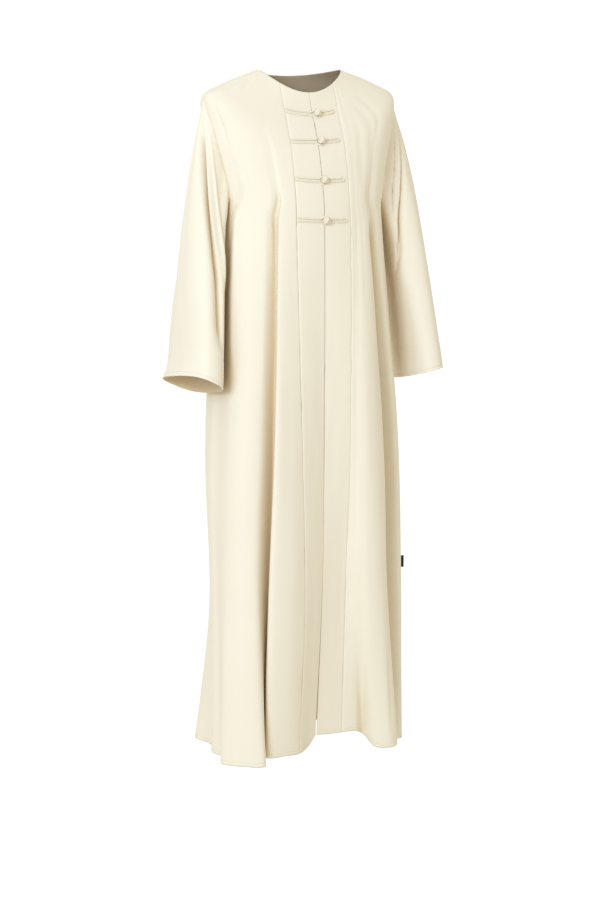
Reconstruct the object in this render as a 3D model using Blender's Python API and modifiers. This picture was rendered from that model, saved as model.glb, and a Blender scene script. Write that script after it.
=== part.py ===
"""Long open-front cloak with four knotted frog fastenings, worn and hanging.

The frame is +X to the wearer's left, -Y to the front and +Z up. The origin lies on the body's
axis, level with the side neck points, where the shoulders carry the garment. All sizes are in
metres.

The cloth is one surface of columns and sections. A column runs from the neck or shoulder down to
the hem, and a section runs once round the body, from the opening edge on the wearer's right,
over the back, to the opening edge on the wearer's left. The yoke's sections come from the rings
in YOKE and the skirt's from the crests and valleys in WALK. Each sleeve grows out of its armhole.
"""

import math
from typing import NamedTuple

import bmesh
import bpy
import numpy as np

WALL = 0.0012
SEAM_GAP = 0.0004
OPENING_GAP = 0.0010
WELD = 1e-5
BAND_WIDTH = 0.058
SIDE_Y = -0.005

CREAM = (0.86, 0.79, 0.62, 1.0)
CREAM_CORD = (0.83, 0.75, 0.57, 1.0)
BLACK = (0.012, 0.012, 0.013, 1.0)


class Ring(NamedTuple):
    """A section of the yoke: its half width, depths, levels, roundness and armhole angles."""

    name: str
    half_width: float
    side_level: float
    front_depth: float
    front_level: float
    back_depth: float
    back_level: float
    power: float
    front_cut: float
    back_cut: float


YOKE = (
    Ring("neck", 0.090, 0.000, 0.061, -0.048, 0.056, -0.008, 1.00, 90, 90),
    Ring("collar", 0.125, -0.012, 0.068, -0.070, 0.066, -0.022, 0.97, 90, 90),
    Ring("shoulder", 0.165, -0.028, 0.081, -0.098, 0.078, -0.045, 0.93, 90, 90),
    Ring("tip", 0.203, -0.050, 0.098, -0.132, 0.092, -0.078, 0.90, 90, 90),
    Ring("cap", 0.198, -0.110, 0.114, -0.172, 0.106, -0.140, 0.87, 80, 80),
    Ring("chest", 0.181, -0.190, 0.128, -0.226, 0.115, -0.210, 0.85, 77, 77),
    Ring("pit", 0.171, -0.250, 0.136, -0.264, 0.118, -0.256, 0.85, 76, 76),
    Ring("underarm", 0.169, -0.292, 0.139, -0.296, 0.120, -0.292, 0.84, 90, 90),
    Ring("bust", 0.172, -0.335, 0.140, -0.335, 0.120, -0.335, 0.83, 90, 90),
)
SHOULDER_TILT = 0.028
TIP = 3
UNDERARM = 7
BUST = 8
HIP_LEVEL = -0.76
KNEE_LEVEL = -1.06


class Line(NamedTuple):
    """A crest, valley or seam of the skirt, from the bust ring to the hem.

    The angle is measured on the bust ring from the opening, through the wearer's right, and
    bust_out is how far the cloth stands off that ring there.
    """

    name: str
    angle: float
    bust_out: float
    hip_x: float
    hip_y: float
    knee_x: float
    knee_y: float
    hem_x: float
    hem_y: float
    hem_z: float


WALK = (
    Line("opening right", 0, 0.000, 0.000, -0.140, 0.000, -0.129, -0.003, -0.099, -1.350),
    Line("corner right", 7, 0.001, -0.026, -0.149, -0.024, -0.144, -0.022, -0.108, -1.373),
    Line("seam right", 17, 0.003, -0.055, -0.159, -0.050, -0.159, -0.050, -0.127, -1.379),
    Line("ridge A", 23.5, 0.006, -0.083, -0.167, -0.088, -0.173, -0.084, -0.140, -1.378),
    Line("edge A", 28.5, 0.006, -0.117, -0.168, -0.130, -0.168, -0.118, -0.133, -1.379),
    Line("valley A", 32.0, -0.009, -0.105, -0.128, -0.112, -0.122, -0.126, -0.112, -1.377),
    Line("crest B", 38.5, 0.003, -0.143, -0.148, -0.152, -0.154, -0.141, -0.170, -1.388),
    Line("face B", 52, 0.008, -0.170, -0.138, -0.179, -0.141, -0.186, -0.145, -1.388),
    Line("turn B", 66, 0.010, -0.189, -0.104, -0.199, -0.104, -0.211, -0.106, -1.389),
    Line("notch", 74, -0.001, -0.190, -0.035, -0.191, -0.042, -0.194, -0.066, -1.386),
    Line("dip right", 81, 0.000, -0.193, -0.005, -0.192, -0.010, -0.200, -0.026, -1.385),
    Line("side right", 90, 0.000, -0.187, 0.035, -0.180, 0.035, -0.181, 0.030, -1.384),
    Line("crest C", 106, 0.000, -0.168, 0.088, -0.158, 0.089, -0.191, 0.100, -1.383),
    Line("turn C", 120, 0.000, -0.130, 0.118, -0.128, 0.120, -0.158, 0.138, -1.380),
    Line("valley C", 136, -0.002, -0.090, 0.118, -0.092, 0.108, -0.112, 0.098, -1.376),
    Line("crest D", 156, 0.002, -0.048, 0.140, -0.052, 0.150, -0.058, 0.154, -1.375),
    Line("centre back", 180, -0.002, 0.000, 0.124, 0.000, 0.116, 0.002, 0.108, -1.372),
    Line("crest E", 204, 0.002, 0.050, 0.140, 0.055, 0.150, 0.062, 0.154, -1.374),
    Line("valley F", 226, -0.002, 0.100, 0.116, 0.105, 0.108, 0.115, 0.100, -1.377),
    Line("crest G", 242, 0.000, 0.145, 0.112, 0.155, 0.118, 0.165, 0.135, -1.380),
    Line("turn G", 256, 0.000, 0.186, 0.060, 0.199, 0.066, 0.207, 0.078, -1.382),
    Line("side left", 270, 0.000, 0.205, -0.026, 0.217, -0.028, 0.214, -0.020, -1.383),
    Line("flank left", 309, 0.000, 0.1935, -0.069, 0.1995, -0.070, 0.208, -0.070, -1.383),
    Line("valley H", 317, -0.013, 0.150, -0.048, 0.154, -0.042, 0.180, -0.076, -1.385),
    Line("edge J", 327, 0.004, 0.141, -0.117, 0.150, -0.121, 0.183, -0.103, -1.384),
    Line("ridge J", 332, 0.005, 0.117, -0.144, 0.127, -0.146, 0.160, -0.126, -1.386),
    Line("rise J", 336, 0.004, 0.091, -0.153, 0.094, -0.149, 0.128, -0.112, -1.385),
    Line("pocket", 338.5, 0.002, 0.076, -0.150, 0.078, -0.138, 0.112, -0.084, -1.364),
    Line("floor", 340.5, 0.002, 0.066, -0.146, 0.066, -0.128, 0.092, -0.096, -1.353),
    Line("seam left", 343, 0.002, 0.056, -0.143, 0.055, -0.121, 0.058, -0.097, -1.352),
    Line("corner left", 353, 0.001, 0.027, -0.141, 0.027, -0.123, 0.026, -0.098, -1.3525),
    Line("opening left", 360, 0.000, 0.000, -0.140, 0.000, -0.128, 0.003, -0.098, -1.351),
)
SEAM_ANGLE = 17.0

LIFT_POWER = 3

NECK_ROWS = 5
ARMHOLE_ROWS = 10
SKIRT_ROWS = (1, 4, 4, 4)
COLUMNS_PER_LINE = 3
BAND_COLUMNS_PER_LINE = 2
FIRST_ARMHOLE_ROW = NECK_ROWS
LAST_ARMHOLE_ROW = NECK_ROWS + ARMHOLE_ROWS


class Cuff(NamedTuple):
    """The lower rim of a sleeve and how the sleeve reaches it.

    The rim has a centre, half sizes, a turn inwards in degrees and rises at the front and outside.
    Its lip flares out behind, and swing is how steeply the sleeve leaves the shoulder sideways.
    """

    x: float
    y: float
    level: float
    half_length: float
    half_width: float
    turn: float
    front_rise: float
    outer_rise: float
    power: float
    lip: float
    swing: float


CUFF_RIGHT = Cuff(-0.2380, -0.036, -0.628, 0.105, 0.037, 1.5, 0.0095, 0.018, 0.78, 0.010, 0.21)
CUFF_LEFT = Cuff(0.2555, -0.040, -0.617, 0.100, 0.034, 5.0, 0.011, 0.009, 0.84, 0.000, 0.33)
LIP_TURN = 315.0
LIP_START = 0.92
SLEEVE_ROWS = 14
SLEEVE_START = (-0.04, -0.96)
SLEEVE_END = (0.10, -0.13, -0.98)
SLEEVE_SPREAD = 0.10


class Crease(NamedTuple):
    """A soft sleeve fold: its place round and down the sleeve, its drift, depth and widths."""

    turn: float
    drift: float
    middle: float
    depth: float
    width: float
    reach: float


CREASES_RIGHT = (
    Crease(68, 150, 0.36, -0.011, 13, 0.32),
    Crease(94, 160, 0.32, 0.005, 12, 0.26),
    Crease(140, 10, 0.30, -0.006, 14, 0.28),
    Crease(250, 15, 0.40, -0.006, 18, 0.40),
    Crease(300, -10, 0.35, -0.005, 18, 0.35),
)
CREASES_LEFT = (
    Crease(62, 360, 0.20, -0.010, 15, 0.20),
    Crease(94, 360, 0.20, 0.006, 14, 0.18),
    Crease(245, -15, 0.40, -0.006, 18, 0.40),
    Crease(305, 10, 0.35, -0.005, 18, 0.35),
)

CORD_RADIUS = 0.0024
CORD_SPACING = 0.0053
CORD_LIFT = 0.0003
KNOT_RADIUS = 0.0070
KNOT_SEGMENTS = 10
KNOT_RINGS = 7
LOOP_RADIUS = 0.0100
LOOP_MOUTH = 14.0
LOOP_REACH = 0.056
TAIL_REACH = 0.047
CORD_POINTS = 6
LOOP_POINTS = 11
TAIL_TURNS = (45, 0, -45)
NORMAL_STEP = 0.05


class Frog(NamedTuple):
    """A fastening: the level of its knot, the knot's shift to the left and its end's drop."""

    level: float
    knot_shift: float
    end_drop: float


FROGS = (
    Frog(-0.092, 0.009, 0.000),
    Frog(-0.147, 0.006, 0.003),
    Frog(-0.224, 0.003, -0.002),
    Frog(-0.303, 0.002, -0.002),
)

TAB_HEIGHT = 0.025
TAB_REACH = 0.013
TAB_THICKNESS = 0.0012
TAB_BEVEL = 0.0003
TAB_LEVEL = -1.015


def line_index(name):
    """Return the place of a named line in the walk round the skirt."""
    return [line.name for line in WALK].index(name)


def spline(points, position):
    """Return the point at a position, counted in points, on a smooth curve through them all."""
    last = len(points) - 1
    start = min(int(position), last - 1)
    part = position - start
    p1 = points[start]
    p2 = points[start + 1]
    p0 = points[start - 1] if start > 0 else 2 * p1 - p2
    p3 = points[start + 2] if start + 2 <= last else 2 * p2 - p1
    d1 = max(np.linalg.norm(p1 - p0), 1e-6) ** 0.5
    d2 = max(np.linalg.norm(p2 - p1), 1e-6) ** 0.5
    d3 = max(np.linalg.norm(p3 - p2), 1e-6) ** 0.5
    m1 = d2 * ((p1 - p0) / d1 - (p2 - p0) / (d1 + d2)) + (p2 - p1)
    m2 = d2 * ((p3 - p2) / d3 - (p3 - p1) / (d2 + d3)) + (p2 - p1)
    a = 2 * (p1 - p2) + m1 + m2
    b = 3 * (p2 - p1) - 2 * m1 - m2
    return ((a * part + b) * part + m1) * part + p1


def ring_point(ring, angle, lift):
    """Return the point of a yoke ring at an angle in degrees, moved out by a lift."""
    turn = math.radians(angle)
    front = math.cos(turn) >= 0.0
    depth, level = (ring.front_depth, ring.front_level) if front else (ring.back_depth, ring.back_level)
    across = math.copysign(abs(math.sin(turn)) ** ring.power, -math.sin(turn))
    along = math.copysign(abs(math.cos(turn)) ** ring.power, -math.cos(turn))
    reach = depth + SIDE_Y if front else depth - SIDE_Y
    rise = math.sin(turn) ** 2
    x = ring.half_width * across + lift * across
    tilt = SHOULDER_TILT * x * max(0.0, 1.0 + ring.side_level / -YOKE[UNDERARM].side_level)
    return np.array((
        x,
        SIDE_Y + reach * along + lift * along,
        level + (ring.side_level - level) * rise + tilt,
    ))


def fitted_angle(ring, angle, on_back):
    """Squeeze an angle of the bust ring between the band seam and the armhole of a ring."""
    half = angle if angle <= 180 else 360 - angle
    if on_back:
        fitted = 180 - (180 - half) * ring.back_cut / 90
    else:
        seam = math.degrees(math.asin((BAND_WIDTH / ring.half_width) ** (1 / ring.power)))
        if half <= SEAM_ANGLE:
            fitted = seam * half / SEAM_ANGLE
        else:
            fitted = seam + (half - SEAM_ANGLE) / (90 - SEAM_ANGLE) * (ring.front_cut - seam)
    return fitted if angle <= 180 else 360 - fitted


def column_controls(position, on_back):
    """Return a column's points on every yoke ring, at the hip, at the knee and at the hem."""
    rows = np.array([(line.angle, line.bust_out) for line in WALK])
    places = np.arange(len(WALK))
    angle = np.interp(position, places, rows[:, 0])
    stand = np.interp(position, places, rows[:, 1])
    controls = []
    for number, ring in enumerate(YOKE):
        lift = stand * (number / BUST) ** LIFT_POWER
        controls.append(ring_point(ring, fitted_angle(ring, angle, on_back), lift))
    hip = [np.array((line.hip_x, line.hip_y, HIP_LEVEL)) for line in WALK]
    knee = [np.array((line.knee_x, line.knee_y, KNEE_LEVEL)) for line in WALK]
    hem = [np.array((line.hem_x, line.hem_y, line.hem_z)) for line in WALK]
    for section in (hip, knee, hem):
        controls.append(spline(section, position))
    return controls


def row_places():
    """Return each row's place among a column's control points, from the neck to the hem."""
    places = list(np.linspace(0, TIP, NECK_ROWS + 1))
    places += list(np.linspace(TIP, UNDERARM, ARMHOLE_ROWS + 1))[1:]
    for number, count in enumerate(SKIRT_ROWS):
        start = UNDERARM + number
        places += list(np.linspace(start, start + 1, count + 1))[1:]
    return places


def panel_grid(first, last, per_line, on_back=False):
    """Return a panel's points as rows and columns, between two lines of the walk."""
    rows = row_places()
    start = line_index(first)
    end = line_index(last)
    columns = (end - start) * per_line
    grid = np.zeros((len(rows), columns + 1, 3))
    for column, position in enumerate(np.linspace(start, end, columns + 1)):
        controls = column_controls(position, on_back)
        for row, place in enumerate(rows):
            grid[row, column] = spline(controls, place)
    return grid


def share_edge(first, second):
    """Give two panel edges the same points, except along the armhole between them."""
    middle = (first + second) / 2
    armhole = slice(FIRST_ARMHOLE_ROW + 1, LAST_ARMHOLE_ROW)
    for edge in (first, second):
        kept = edge[armhole].copy()
        edge[:] = middle
        edge[armhole] = kept


def inset(grid, first_gap, last_gap):
    """Draw a panel's two long edges in, to leave the seam gaps beside it."""
    drawn = grid.copy()
    for edge, neighbour, gap in ((0, 1, first_gap), (-1, -2, last_gap)):
        step = grid[:, neighbour] - grid[:, edge]
        length = np.linalg.norm(step, axis=1, keepdims=True)
        drawn[:, edge] = grid[:, edge] + step / length * gap / 2
    return drawn


def material(name, colour, roughness):
    """Return a plain Principled material."""
    made = bpy.data.materials.get(name) or bpy.data.materials.new(name)
    made.use_nodes = True
    shader = made.node_tree.nodes["Principled BSDF"]
    shader.inputs["Base Color"].default_value = colour
    shader.inputs["Roughness"].default_value = roughness
    shader.inputs["Metallic"].default_value = 0.0
    return made


def add_object(name, mesh, finish, collection):
    """Put a mesh into the collection as an object with one material."""
    made = bpy.data.objects.new(name, mesh)
    mesh.materials.clear()
    mesh.materials.append(finish)
    collection.objects.link(made)
    return made


def cloth(name, grid, finish, collection, closed=False):
    """Make a cloth wall on a grid of points; a closed one joins its last column to its first."""
    rows, columns = grid.shape[:2]
    work = bmesh.new()
    bmesh.ops.create_grid(work, x_segments=columns - 1, y_segments=rows - 1, size=1.0)
    for vertex, point in zip(work.verts, grid.reshape(-1, 3)):
        vertex.co = point
    if closed:
        bmesh.ops.remove_doubles(work, verts=work.verts, dist=WELD)
    mesh = bpy.data.meshes.new(name)
    work.to_mesh(mesh)
    work.free()
    mesh.shade_smooth()
    made = add_object(name, mesh, finish, collection)
    wall = made.modifiers.new("wall", "SOLIDIFY")
    wall.thickness = WALL
    wall.offset = 0.0
    return made


def cuff_loop(cuff, count, side):
    """Return the sleeve's lower rim, from its outer side over the front to the inner side."""
    turn = math.radians(cuff.turn)
    points = []
    for angle in np.linspace(0, 2 * math.pi, count + 1):
        outer = math.copysign(abs(math.cos(angle)) ** cuff.power, math.cos(angle))
        front = math.copysign(abs(math.sin(angle)) ** cuff.power, math.sin(angle))
        across = cuff.half_width * outer
        along = cuff.half_length * front
        points.append((
            cuff.x + side * (across * math.cos(turn) - along * math.sin(turn)),
            cuff.y - along * math.cos(turn) - across * math.sin(turn),
            cuff.level + cuff.front_rise * front + cuff.outer_rise * outer,
        ))
    return np.array(points)


def sleeve_grid(front_edge, back_edge, cuff, creases):
    """Return a sleeve's points, from the armhole between two panel edges to its cuff."""
    side = math.copysign(1, cuff.x)
    front_edge = front_edge[FIRST_ARMHOLE_ROW:LAST_ARMHOLE_ROW + 1]
    back_edge = back_edge[FIRST_ARMHOLE_ROW:LAST_ARMHOLE_ROW + 1]
    armhole = np.concatenate((front_edge, back_edge[::-1][1:]))
    armhole = armhole + np.array((side * (WALL + SEAM_GAP), 0, 0))
    count = len(armhole) - 1
    rim = cuff_loop(cuff, count, side)
    centre = rim[:-1].mean(axis=0)
    grid = np.zeros((SLEEVE_ROWS + 1, count + 1, 3))
    for column in range(count + 1):
        turn = 360 * column / count
        top = armhole[column]
        low = rim[column]
        length = np.linalg.norm(low - top)
        spread = (low - centre) / cuff.half_length
        start = np.array((side * cuff.swing, *SLEEVE_START)) + SLEEVE_SPREAD * spread
        end = np.array(SLEEVE_END) * (side, 1, 1)
        for row in range(SLEEVE_ROWS + 1):
            part = row / SLEEVE_ROWS
            point = hermite(top, low, start * length, end * length, part)
            shift = crease_shift(creases, turn, part) + lip_shift(cuff, turn, part)
            grid[row, column] = point + shift * outward(turn, side)
    return grid


def hermite(start, end, start_slope, end_slope, part):
    """Return the point at a fraction of a cubic with given ends and slopes."""
    square = part * part
    cube = square * part
    return ((2 * cube - 3 * square + 1) * start + (cube - 2 * square + part) * start_slope
            + (3 * square - 2 * cube) * end + (cube - square) * end_slope)


def crease_shift(creases, turn, part):
    """Return how far soft folds push a sleeve's cloth out at a turn and a fraction down."""
    shift = 0.0
    for crease in creases:
        centre = crease.turn + crease.drift * (part - crease.middle)
        across = ((turn - centre + 180) % 360 - 180) / crease.width
        down = (part - crease.middle) / crease.reach
        shift += crease.depth * math.exp(-across * across - down * down * 2)
    return shift * math.sin(math.pi * min(part, 0.5))


def lip_shift(cuff, turn, part):
    """Return how far the rim's lip flares out at a turn and a fraction down a sleeve."""
    across = max(0.0, math.cos(math.radians(turn - LIP_TURN)))
    down = max(0.0, part - LIP_START) / (1.0 - LIP_START)
    return cuff.lip * across * down * down


def outward(turn, side):
    """Return the outward direction at a turn round a sleeve."""
    angle = math.radians(turn)
    return np.array((side * math.cos(angle), -math.sin(angle), 0.0))


def grid_point(grid, row, column):
    """Return the point of a grid at a fractional row and column."""
    r = min(int(row), grid.shape[0] - 2)
    c = min(int(column), grid.shape[1] - 2)
    across = column - c
    top = grid[r, c] * (1 - across) + grid[r, c + 1] * across
    low = grid[r + 1, c] * (1 - across) + grid[r + 1, c + 1] * across
    return top * (1 - row + r) + low * (row - r)


def row_at_level(grid, column, level):
    """Return the fractional row where a column of a grid passes a level."""
    heights = grid[:, column, 2]
    return float(np.interp(-level, -heights, np.arange(len(heights))))


def on_band(grid, row, distance, reach):
    """Return a point on a band at a distance from its opening edge, and the outward direction."""
    columns = grid.shape[1] - 1
    column = columns * min(max(distance, 0.0) / reach, 1.0)
    centre = grid_point(grid, row, column)
    after = grid_point(grid, row, min(column + NORMAL_STEP, columns))
    before = grid_point(grid, row, max(column - NORMAL_STEP, 0))
    below = grid_point(grid, row + NORMAL_STEP, column)
    above = grid_point(grid, row - NORMAL_STEP, column)
    normal = np.cross(after - before, below - above)
    normal = normal / np.linalg.norm(normal)
    if normal[1] > 0:
        normal = -normal
    return centre, normal


def band_surface(bands, level, x, rise):
    """Return the point that lies a rise above a band at a level and a distance from the opening."""
    side = "left" if x > 0 else "right"
    grid = bands[side]
    row = row_at_level(grid, 0, level)
    width = np.linalg.norm(grid_point(grid, row, grid.shape[1] - 1) - grid_point(grid, row, 0))
    centre, normal = on_band(grid, row, abs(x), width)
    return centre + normal * (WALL / 2 + CORD_LIFT + rise)


def cord(name, points, finish, collection):
    """Make a round cord along points."""
    curve = bpy.data.curves.new(name, "CURVE")
    curve.dimensions = "3D"
    curve.bevel_depth = CORD_RADIUS
    curve.bevel_resolution = 1
    curve.use_fill_caps = True
    run = curve.splines.new("POLY")
    run.points.add(len(points) - 1)
    for target, point in zip(run.points, points):
        target.co = (*point, 1.0)
    curve.materials.append(finish)
    made = bpy.data.objects.new(name, curve)
    collection.objects.link(made)
    return made


def loop_points(bands, frog):
    """Return the path of a loop cord: out along the band, round the knot and back."""
    half = CORD_SPACING / 2
    path = []
    for x in np.linspace(-LOOP_REACH, -LOOP_RADIUS, CORD_POINTS):
        level = frog.level - frog.end_drop * (x / LOOP_REACH) ** 2
        path.append(band_surface(bands, level + half, x, CORD_RADIUS))
    knot = frog.knot_shift
    opening = math.degrees(math.asin(half / LOOP_RADIUS)) + LOOP_MOUTH
    for angle in np.linspace(180 - opening, opening - 180, LOOP_POINTS):
        turn = math.radians(angle)
        x = knot + LOOP_RADIUS * math.cos(turn)
        level = frog.level + LOOP_RADIUS * math.sin(turn)
        path.append(band_surface(bands, level, x, CORD_RADIUS))
    for x in np.linspace(-LOOP_RADIUS, -LOOP_REACH, CORD_POINTS):
        level = frog.level - frog.end_drop * (x / LOOP_REACH) ** 2
        path.append(band_surface(bands, level - half, x, CORD_RADIUS))
    return path


def tail_points(bands, frog):
    """Return the path of a tail cord: from the knot to its end, round a short turn and back."""
    half = CORD_SPACING / 2
    start = frog.knot_shift + LOOP_RADIUS + 2 * CORD_RADIUS + CORD_LIFT
    run = np.linspace(start, TAIL_REACH - half, CORD_POINTS)
    path = [band_surface(bands, frog.level + half, x, CORD_RADIUS) for x in run]
    for angle in TAIL_TURNS:
        turn = math.radians(angle)
        x = TAIL_REACH - half + half * math.cos(turn)
        path.append(band_surface(bands, frog.level + half * math.sin(turn), x, CORD_RADIUS))
    path += [band_surface(bands, frog.level - half, x, CORD_RADIUS) for x in run[::-1]]
    return path


def knot(name, centre, finish, collection):
    """Make the ball of a fastening."""
    work = bmesh.new()
    bmesh.ops.create_uvsphere(work, u_segments=KNOT_SEGMENTS, v_segments=KNOT_RINGS, radius=KNOT_RADIUS)
    bmesh.ops.translate(work, verts=work.verts, vec=centre)
    mesh = bpy.data.meshes.new(name)
    work.to_mesh(mesh)
    work.free()
    mesh.shade_smooth()
    return add_object(name, mesh, finish, collection)


def make_frogs(bands, collection):
    """Make the four fastenings on the bands."""
    finish = material("cord", CREAM_CORD, 0.7)
    for number, frog in enumerate(FROGS, 1):
        cord(f"frog_{number}_loop", loop_points(bands, frog), finish, collection)
        cord(f"frog_{number}_tail", tail_points(bands, frog), finish, collection)
        centre = band_surface(bands, frog.level, frog.knot_shift, KNOT_RADIUS)
        knot(f"frog_{number}_knot", centre, finish, collection)


def make_tab(front, collection):
    """Make the folded tab that stands out of the wearer's left side seam."""
    row = row_at_level(front, 0, TAB_LEVEL)
    seam = grid_point(front, row, 0)
    neighbour = grid_point(front, row, 1)
    along = neighbour - seam
    along[2] = 0.0
    along = along / np.linalg.norm(along)
    out = np.array((-along[1], along[0], 0.0))
    if out[0] < 0:
        out = -out
    centre = seam + out * (WALL / 2 + CORD_LIFT + TAB_REACH / 2)
    work = bmesh.new()
    bmesh.ops.create_cube(work, size=1.0)
    bmesh.ops.scale(work, verts=work.verts, vec=(TAB_REACH, TAB_THICKNESS, TAB_HEIGHT))
    bmesh.ops.bevel(work, geom=work.edges, offset=TAB_BEVEL, segments=1, affect="EDGES")
    mesh = bpy.data.meshes.new("seam_tab")
    work.to_mesh(mesh)
    work.free()
    made = add_object("seam_tab", mesh, material("tab", BLACK, 0.6), collection)
    made.location = centre
    made.rotation_euler = (0.0, 0.0, math.atan2(out[1], out[0]))
    return made


def main():
    """Model the whole garment."""
    for old in list(bpy.data.objects):
        bpy.data.objects.remove(old, do_unlink=True)
    collection = bpy.data.collections.new("Cloak")
    bpy.context.scene.collection.children.link(collection)
    finish = material("crepe", CREAM, 0.75)

    band_right = panel_grid("opening right", "seam right", BAND_COLUMNS_PER_LINE)
    front_right = panel_grid("seam right", "side right", COLUMNS_PER_LINE)
    back = panel_grid("side right", "side left", COLUMNS_PER_LINE, on_back=True)
    front_left = panel_grid("side left", "seam left", COLUMNS_PER_LINE)
    band_left = panel_grid("seam left", "opening left", BAND_COLUMNS_PER_LINE)
    share_edge(front_right[:, -1], back[:, 0])
    share_edge(front_left[:, 0], back[:, -1])

    band_right = inset(band_right, OPENING_GAP, SEAM_GAP)
    band_left = inset(band_left, SEAM_GAP, OPENING_GAP)
    cloth("band_right", band_right, finish, collection)
    cloth("band_left", band_left, finish, collection)
    cloth("front_right", inset(front_right, SEAM_GAP, SEAM_GAP), finish, collection)
    cloth("front_left", inset(front_left, SEAM_GAP, SEAM_GAP), finish, collection)
    cloth("back", inset(back, SEAM_GAP, SEAM_GAP), finish, collection)

    sleeve_right = sleeve_grid(front_right[:, -1], back[:, 0], CUFF_RIGHT, CREASES_RIGHT)
    sleeve_left = sleeve_grid(front_left[:, 0], back[:, -1], CUFF_LEFT, CREASES_LEFT)
    cloth("sleeve_right", sleeve_right, finish, collection, closed=True)
    cloth("sleeve_left", sleeve_left, finish, collection, closed=True)

    make_frogs({"right": band_right, "left": band_left[:, ::-1]}, collection)
    make_tab(front_left, collection)


main()
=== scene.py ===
"""Dresses the worn cloak: sewn panels, sleeves, knotted fastenings, seam tab and the studio.

The cloth is the draped surface of the CAD panels, made again finely and given its seams, turned
hems, stitches and soft creases. The frame is +X to the cloak's own left, -Y to the front and +Z
up, and the origin lies on the body's axis, level with the side neck points. Sizes are in metres.
"""

import logging
import math
from dataclasses import dataclass, field
from enum import Enum
from typing import Iterable, NamedTuple, Sequence

import bmesh
import bpy
import numpy as np
from mathutils import Matrix, Vector
from mathutils.bvhtree import BVHTree

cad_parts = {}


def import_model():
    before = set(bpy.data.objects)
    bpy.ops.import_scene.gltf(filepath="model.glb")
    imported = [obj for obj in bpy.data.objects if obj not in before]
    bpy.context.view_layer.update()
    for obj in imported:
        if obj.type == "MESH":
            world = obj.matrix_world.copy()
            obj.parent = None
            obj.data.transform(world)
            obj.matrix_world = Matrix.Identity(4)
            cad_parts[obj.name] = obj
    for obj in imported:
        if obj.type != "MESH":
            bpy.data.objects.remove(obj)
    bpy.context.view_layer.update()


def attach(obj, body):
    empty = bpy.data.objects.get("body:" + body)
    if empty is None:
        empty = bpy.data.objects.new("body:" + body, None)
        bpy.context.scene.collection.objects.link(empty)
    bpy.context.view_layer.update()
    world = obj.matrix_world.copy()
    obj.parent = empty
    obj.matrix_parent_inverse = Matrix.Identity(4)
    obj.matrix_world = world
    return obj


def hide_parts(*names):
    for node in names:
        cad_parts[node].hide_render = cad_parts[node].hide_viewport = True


log = logging.getLogger("cloak")

Points = np.ndarray
Triple = tuple[float, float, float]

BAND_WIDTH = 0.058
SIDE_Y = -0.005
SHOULDER_TILT = 0.028
HIP_LEVEL = -0.76
KNEE_LEVEL = -1.06
SEAM_ANGLE = 17.0
SEAM_GAP = 0.0004
OPENING_GAP = 0.0010
CLOTH = 0.0010
HEM_SHARE = 0.8
HEM_SETBACK = 1.05
WELD = 1e-5
SLACK = 1e-6
# Painted shade in folds: the share of fold depth in it, the breadth over which a fold is measured,
# and the hollow that counts as a full fold.
PAINTED_FOLD_SHARE = 0.45
FOLD_BREADTH = 0.018
FOLD_DEEP = 0.010
SPECULAR = 0.25
GRAIN_HEIGHT = 0.0004
WHITE = (1.0, 1.0, 1.0, 1.0)
FLOOR_LEVEL = -1.565
NOISE_START = 50


class Ring(NamedTuple):
    """A section of the yoke: its half width, depths, levels, roundness and armhole angles."""

    name: str
    half_width: float
    side_level: float
    front_depth: float
    front_level: float
    back_depth: float
    back_level: float
    power: float
    front_cut: float
    back_cut: float


class Line(NamedTuple):
    """A crest, valley or seam of the skirt, from the bust ring to the hem."""

    name: str
    angle: float
    bust_out: float
    hip_x: float
    hip_y: float
    knee_x: float
    knee_y: float
    hem_x: float
    hem_y: float
    hem_z: float


YOKE = (
    Ring("neck", 0.090, 0.000, 0.061, -0.048, 0.056, -0.008, 1.00, 90, 90),
    Ring("collar", 0.125, -0.012, 0.068, -0.070, 0.066, -0.022, 0.97, 90, 90),
    Ring("shoulder", 0.165, -0.028, 0.081, -0.098, 0.078, -0.045, 0.93, 90, 90),
    Ring("tip", 0.203, -0.050, 0.098, -0.132, 0.092, -0.078, 0.90, 90, 90),
    Ring("cap", 0.198, -0.110, 0.114, -0.172, 0.106, -0.140, 0.87, 80, 80),
    Ring("chest", 0.181, -0.190, 0.128, -0.226, 0.115, -0.210, 0.85, 77, 77),
    Ring("pit", 0.171, -0.250, 0.136, -0.264, 0.118, -0.256, 0.85, 76, 76),
    Ring("underarm", 0.169, -0.292, 0.139, -0.296, 0.120, -0.292, 0.84, 90, 90),
    Ring("bust", 0.172, -0.335, 0.140, -0.335, 0.120, -0.335, 0.83, 90, 90),
)
TIP = 3
UNDERARM = 7
BUST = 8

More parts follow.
